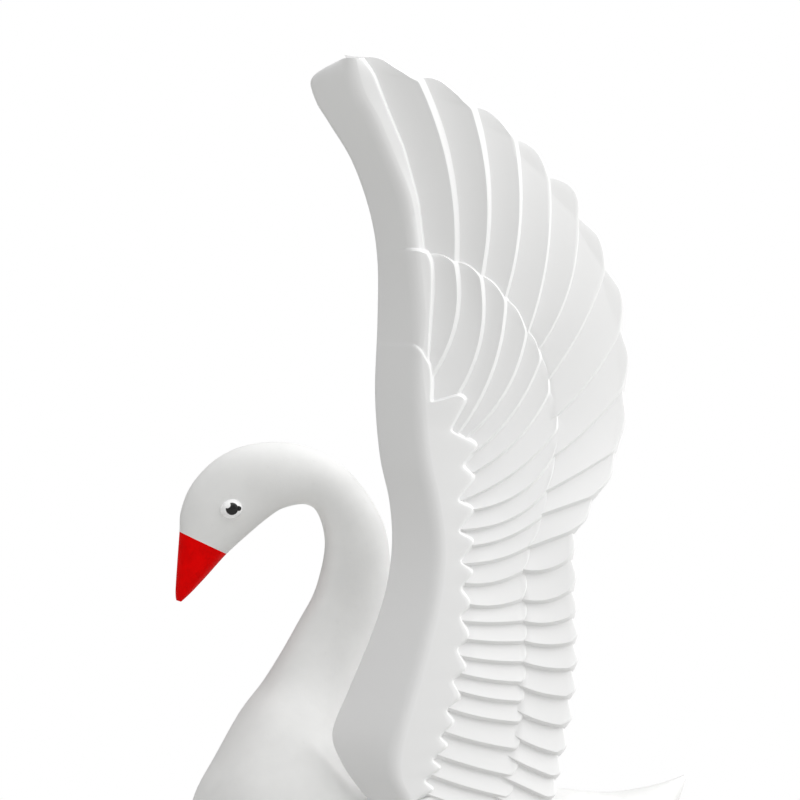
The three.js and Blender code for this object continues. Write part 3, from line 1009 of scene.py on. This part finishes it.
def moulded_eye(finishes, sizes, side):
    """Gloss white acrylic dome with a painted black pupil and a painted white highlight, in place of a
    reflection of the lights.
    """
    material, tree = new_material("moulded_eye_acrylic_" + ("left" if side > 0 else "right"))
    low, high = EYE_BOX
    middle = (low + high) / 2
    place = add_node(tree, "ShaderNodeTexCoord").outputs["Object"]
    parts = add_node(tree, "ShaderNodeSeparateXYZ", links={"Vector": place})

    def maths(operation, first, second=None):
        """A maths node's result from a socket, and from a second socket or a number."""
        linked = isinstance(second, bpy.types.NodeSocket)
        settings = {} if linked or second is None else {1: second}
        links = {0: first, 1: second} if linked else {0: first}
        return add_node(tree, "ShaderNodeMath", {"operation": operation, **settings}, links).outputs[0]

    def disc(y, z, radius):
        """1 inside a disc on the eye's face, in mm from its middle, with a crisp painted edge."""
        squares = []
        for axis, value in (("Y", (middle.y + y) * MM), ("Z", (middle.z + z) * MM)):
            shift = maths("SUBTRACT", parts.outputs[axis], value)
            squares.append(maths("POWER", shift, 2.0))
        distance = maths("SQRT", maths("ADD", *squares))
        limits = {"From Min": radius * MM, "From Max": (radius - PAINT_EDGE) * MM,
                  "To Min": 0.0, "To Max": 1.0}
        return add_node(tree, "ShaderNodeMapRange", limits, {"Value": distance}).outputs["Result"]

    pupil = disc(*PUPIL_PLACE, sizes.eye_pupil / 2)
    lobe = disc(*PUPIL_LOBE)
    # Painted highlight: a white disc over the pupil, where a reflection of the lights would shine.
    painted_highlight = disc(*PAINTED_HIGHLIGHT)
    dark = maths("MAXIMUM", pupil, lobe)
    painted = add_node(tree, "ShaderNodeMix", {"data_type": "RGBA"}, {0: dark})
    painted.inputs[6].default_value = finishes.eye_white_and_highlight
    painted.inputs[7].default_value = finishes.pupil
    # The painted highlight takes the eye's white, laid over the pupil.
    with_painted_highlight = add_node(tree, "ShaderNodeMix", {"data_type": "RGBA"}, {0: painted_highlight, 6: painted.outputs[2]})
    with_painted_highlight.inputs[7].default_value = finishes.eye_white_and_highlight
    shader = add_node(tree, "ShaderNodeBsdfPrincipled", {"Roughness": 0.18, "IOR": 1.49},
                      {"Base Color": with_painted_highlight.outputs[2]})
    shader_output(tree, shader)
    return material


def painted_floor(finishes):
    """White emulsion rolled on the studio floor, matt."""
    material, tree = new_material("matt_white_floor_paint")
    shader = add_node(tree, "ShaderNodeBsdfPrincipled", {"Roughness": 0.9})
    shader.inputs["Base Color"].default_value = finishes.floor
    shader_output(tree, shader)
    return material


# ---------------------------------------------------------------- operators

class SWAN_OT_body(bpy.types.Operator):
    """Build the body with its neck, head and painted beak"""

    bl_idname = "swan.body"
    bl_label = "Body"

    def execute(self, context):
        finishes = context.scene.swan_finishes
        piece = build_body("swan", BODY_RINGS, BODY_SIDES)
        finish_piece(piece, ["swan_body"], "white_gelcoat", moulded_gelcoat(finishes))
        paint_beak(piece, brushed_enamel(finishes))
        shade_smooth(piece, 50)
        return {"FINISHED"}


class SWAN_OT_wings(bpy.types.Operator):
    """Build both raised wings, the right one as the mirror image of the left"""

    bl_idname = "swan.wings"
    bl_label = "Wings"

    def execute(self, context):
        sizes = context.scene.swan_sizes
        body = build_body("cutter", CUTTER_RINGS, CUTTER_SIDES)
        left = build_wing("left_wing", sizes, body)
        bpy.data.objects.remove(body)
        right = mirrored(left, "right_wing")
        gelcoat = bpy.data.materials["moulded_white_gelcoat"]
        for piece, node in ((left, "wing_left"), (right, "wing_right")):
            finish_piece(piece, [node], "white_gelcoat", gelcoat)
            shade_smooth(piece, 32)
        return {"FINISHED"}


class SWAN_OT_eyes(bpy.types.Operator):
    """Build the two glued eyes"""

    bl_idname = "swan.eyes"
    bl_label = "Eyes"

    def execute(self, context):
        finishes, sizes = context.scene.swan_finishes, context.scene.swan_sizes
        for name, node, side in (("left_eye", "eye_left", 1), ("right_eye", "eye_right", -1)):
            piece = build_eye(name, side)
            finish_piece(piece, [node], "eye_plastic", moulded_eye(finishes, sizes, side))
            shade_smooth(piece, 40)
        return {"FINISHED"}


class SWAN_OT_base(bpy.types.Operator):
    """Build the low oval base"""

    bl_idname = "swan.base"
    bl_label = "Base"

    def execute(self, context):
        piece = build_base("oval_base")
        finish_piece(piece, ["base"], "white_gelcoat", bpy.data.materials["moulded_white_gelcoat"])
        shade_smooth(piece, 40)
        return {"FINISHED"}


class SWAN_OT_stage(bpy.types.Operator):
    """Set up the floor, the soft studio light and the camera"""

    bl_idname = "swan.stage"
    bl_label = "Studio"

    def execute(self, context):
        scene = context.scene
        add_floor(scene)
        add_lights(scene)
        add_camera(scene)
        return {"FINISHED"}


FLOOR_HALF = 12           # metres


def add_floor(scene):
    """A wide flat floor under the base."""
    mesh = bpy.data.meshes.new("floor")
    corners = ((-1, -1), (1, -1), (1, 1), (-1, 1))
    mesh.from_pydata([(x * FLOOR_HALF, y * FLOOR_HALF, CAD_BOX[0].z) for x, y in corners],
                     [], [(0, 1, 2, 3)])
    floor = bpy.data.objects.new("floor", mesh)
    scene.collection.objects.link(floor)
    floor.data.materials.append(painted_floor(scene.swan_finishes))


# Soft light from above and behind, with weaker light from the swan's left and its front:
# (name, direction that it comes from, width of the source in degrees, strength).
SUNS = (
    ("top", (0.0, 0.0, 1.0), 100, 2.5),
    ("back", (0.0, 0.85, 0.53), 40, 1.5),
    ("quarter", (0.4, 0.8, 0.45), 60, 0.7),
    ("tail", (0.0, 1.0, 0.15), 50, 0.4),
    ("side", (1.0, 0.0, 0.1), 80, 0.65),
    ("front", (0.35, -0.9, 0.25), 60, 0.1),
)
FILL_STRENGTH = 0.1       # of the even light all round; the backdrop itself shows as plain white
BACKDROP_STRENGTH = 1.0


def add_lights(scene):
    """A white backdrop, a little even light and the suns."""
    world = bpy.data.worlds.new("studio")
    scene.world = world
    world.use_nodes = True
    tree = world.node_tree
    tree.nodes.clear()
    seen = add_node(tree, "ShaderNodeLightPath").outputs["Is Camera Ray"]
    lighting = add_node(tree, "ShaderNodeBackground", {"Strength": FILL_STRENGTH})
    backdrop = add_node(tree, "ShaderNodeBackground", {"Strength": BACKDROP_STRENGTH})
    lighting.inputs["Color"].default_value = (1, 1, 1, 1)
    backdrop.inputs["Color"].default_value = (1, 1, 1, 1)
    chosen = add_node(tree, "ShaderNodeMixShader", links={
        0: seen, 1: lighting.outputs[0], 2: backdrop.outputs[0]})
    add_node(tree, "ShaderNodeOutputWorld", links={"Surface": chosen.outputs[0]})

    for name, way, spread, strength in SUNS:
        light = bpy.data.lights.new(name, "SUN")
        light.angle = math.radians(spread)
        light.energy = strength
        lamp = bpy.data.objects.new(name, light)
        lamp.rotation_mode = "QUATERNION"
        lamp.rotation_quaternion = Vector(way).to_track_quat("Z", "Y")
        scene.collection.objects.link(lamp)


LENS = 1200               # focal length in mm, for a sensor this wide
SENSOR = 36
VIEW_WIDTH = 1000         # mm across the view, at the target
VIEW_TARGET = (100, -37.5, 772)


def add_camera(scene):
    """A long lens, level, looking square at the swan's left side."""
    scene.view_settings.view_transform = "Standard"
    camera = bpy.data.cameras.new("camera")
    camera.lens = LENS
    camera.sensor_width = SENSOR
    target = Vector(VIEW_TARGET) * MM
    distance = VIEW_WIDTH * MM * LENS / SENSOR
    eye = bpy.data.objects.new("camera", camera)
    eye.location = target + Vector((distance, 0, 0))
    eye.rotation_mode = "QUATERNION"
    eye.rotation_quaternion = Vector((1, 0, 0)).to_track_quat("Z", "Y")
    scene.collection.objects.link(eye)
    scene.camera = eye


class SWAN_PT_panel(bpy.types.Panel):
    """Lists the swan's sizes, colours and pieces"""

    bl_idname = "SWAN_PT_panel"
    bl_label = "Garden swan"
    bl_space_type = "VIEW_3D"
    bl_region_type = "UI"
    bl_category = "Swan"

    def draw(self, context):
        for group in (context.scene.swan_sizes, context.scene.swan_finishes):
            for name in group.bl_rna.properties.keys():
                if name not in ("rna_type", "name"):
                    self.layout.prop(group, name)
        for operator in BUILD_ORDER:
            self.layout.operator(operator.bl_idname)


BUILD_ORDER = (SWAN_OT_stage, SWAN_OT_body, SWAN_OT_wings, SWAN_OT_eyes, SWAN_OT_base)
CLASSES = (SwanSizes, SwanFinishes, *BUILD_ORDER, SWAN_PT_panel)


def register():
    for cls in CLASSES:
        bpy.utils.register_class(cls)
    bpy.types.Scene.swan_sizes = bpy.props.PointerProperty(type=SwanSizes)
    bpy.types.Scene.swan_finishes = bpy.props.PointerProperty(type=SwanFinishes)


def unregister():
    del bpy.types.Scene.swan_finishes
    del bpy.types.Scene.swan_sizes
    for cls in reversed(CLASSES):
        bpy.utils.unregister_class(cls)


def main():
    register()
    bpy.ops.swan.stage()
    bpy.ops.swan.body()
    bpy.ops.swan.wings()
    bpy.ops.swan.eyes()
    bpy.ops.swan.base()


if __name__ == "__main__":
    main()
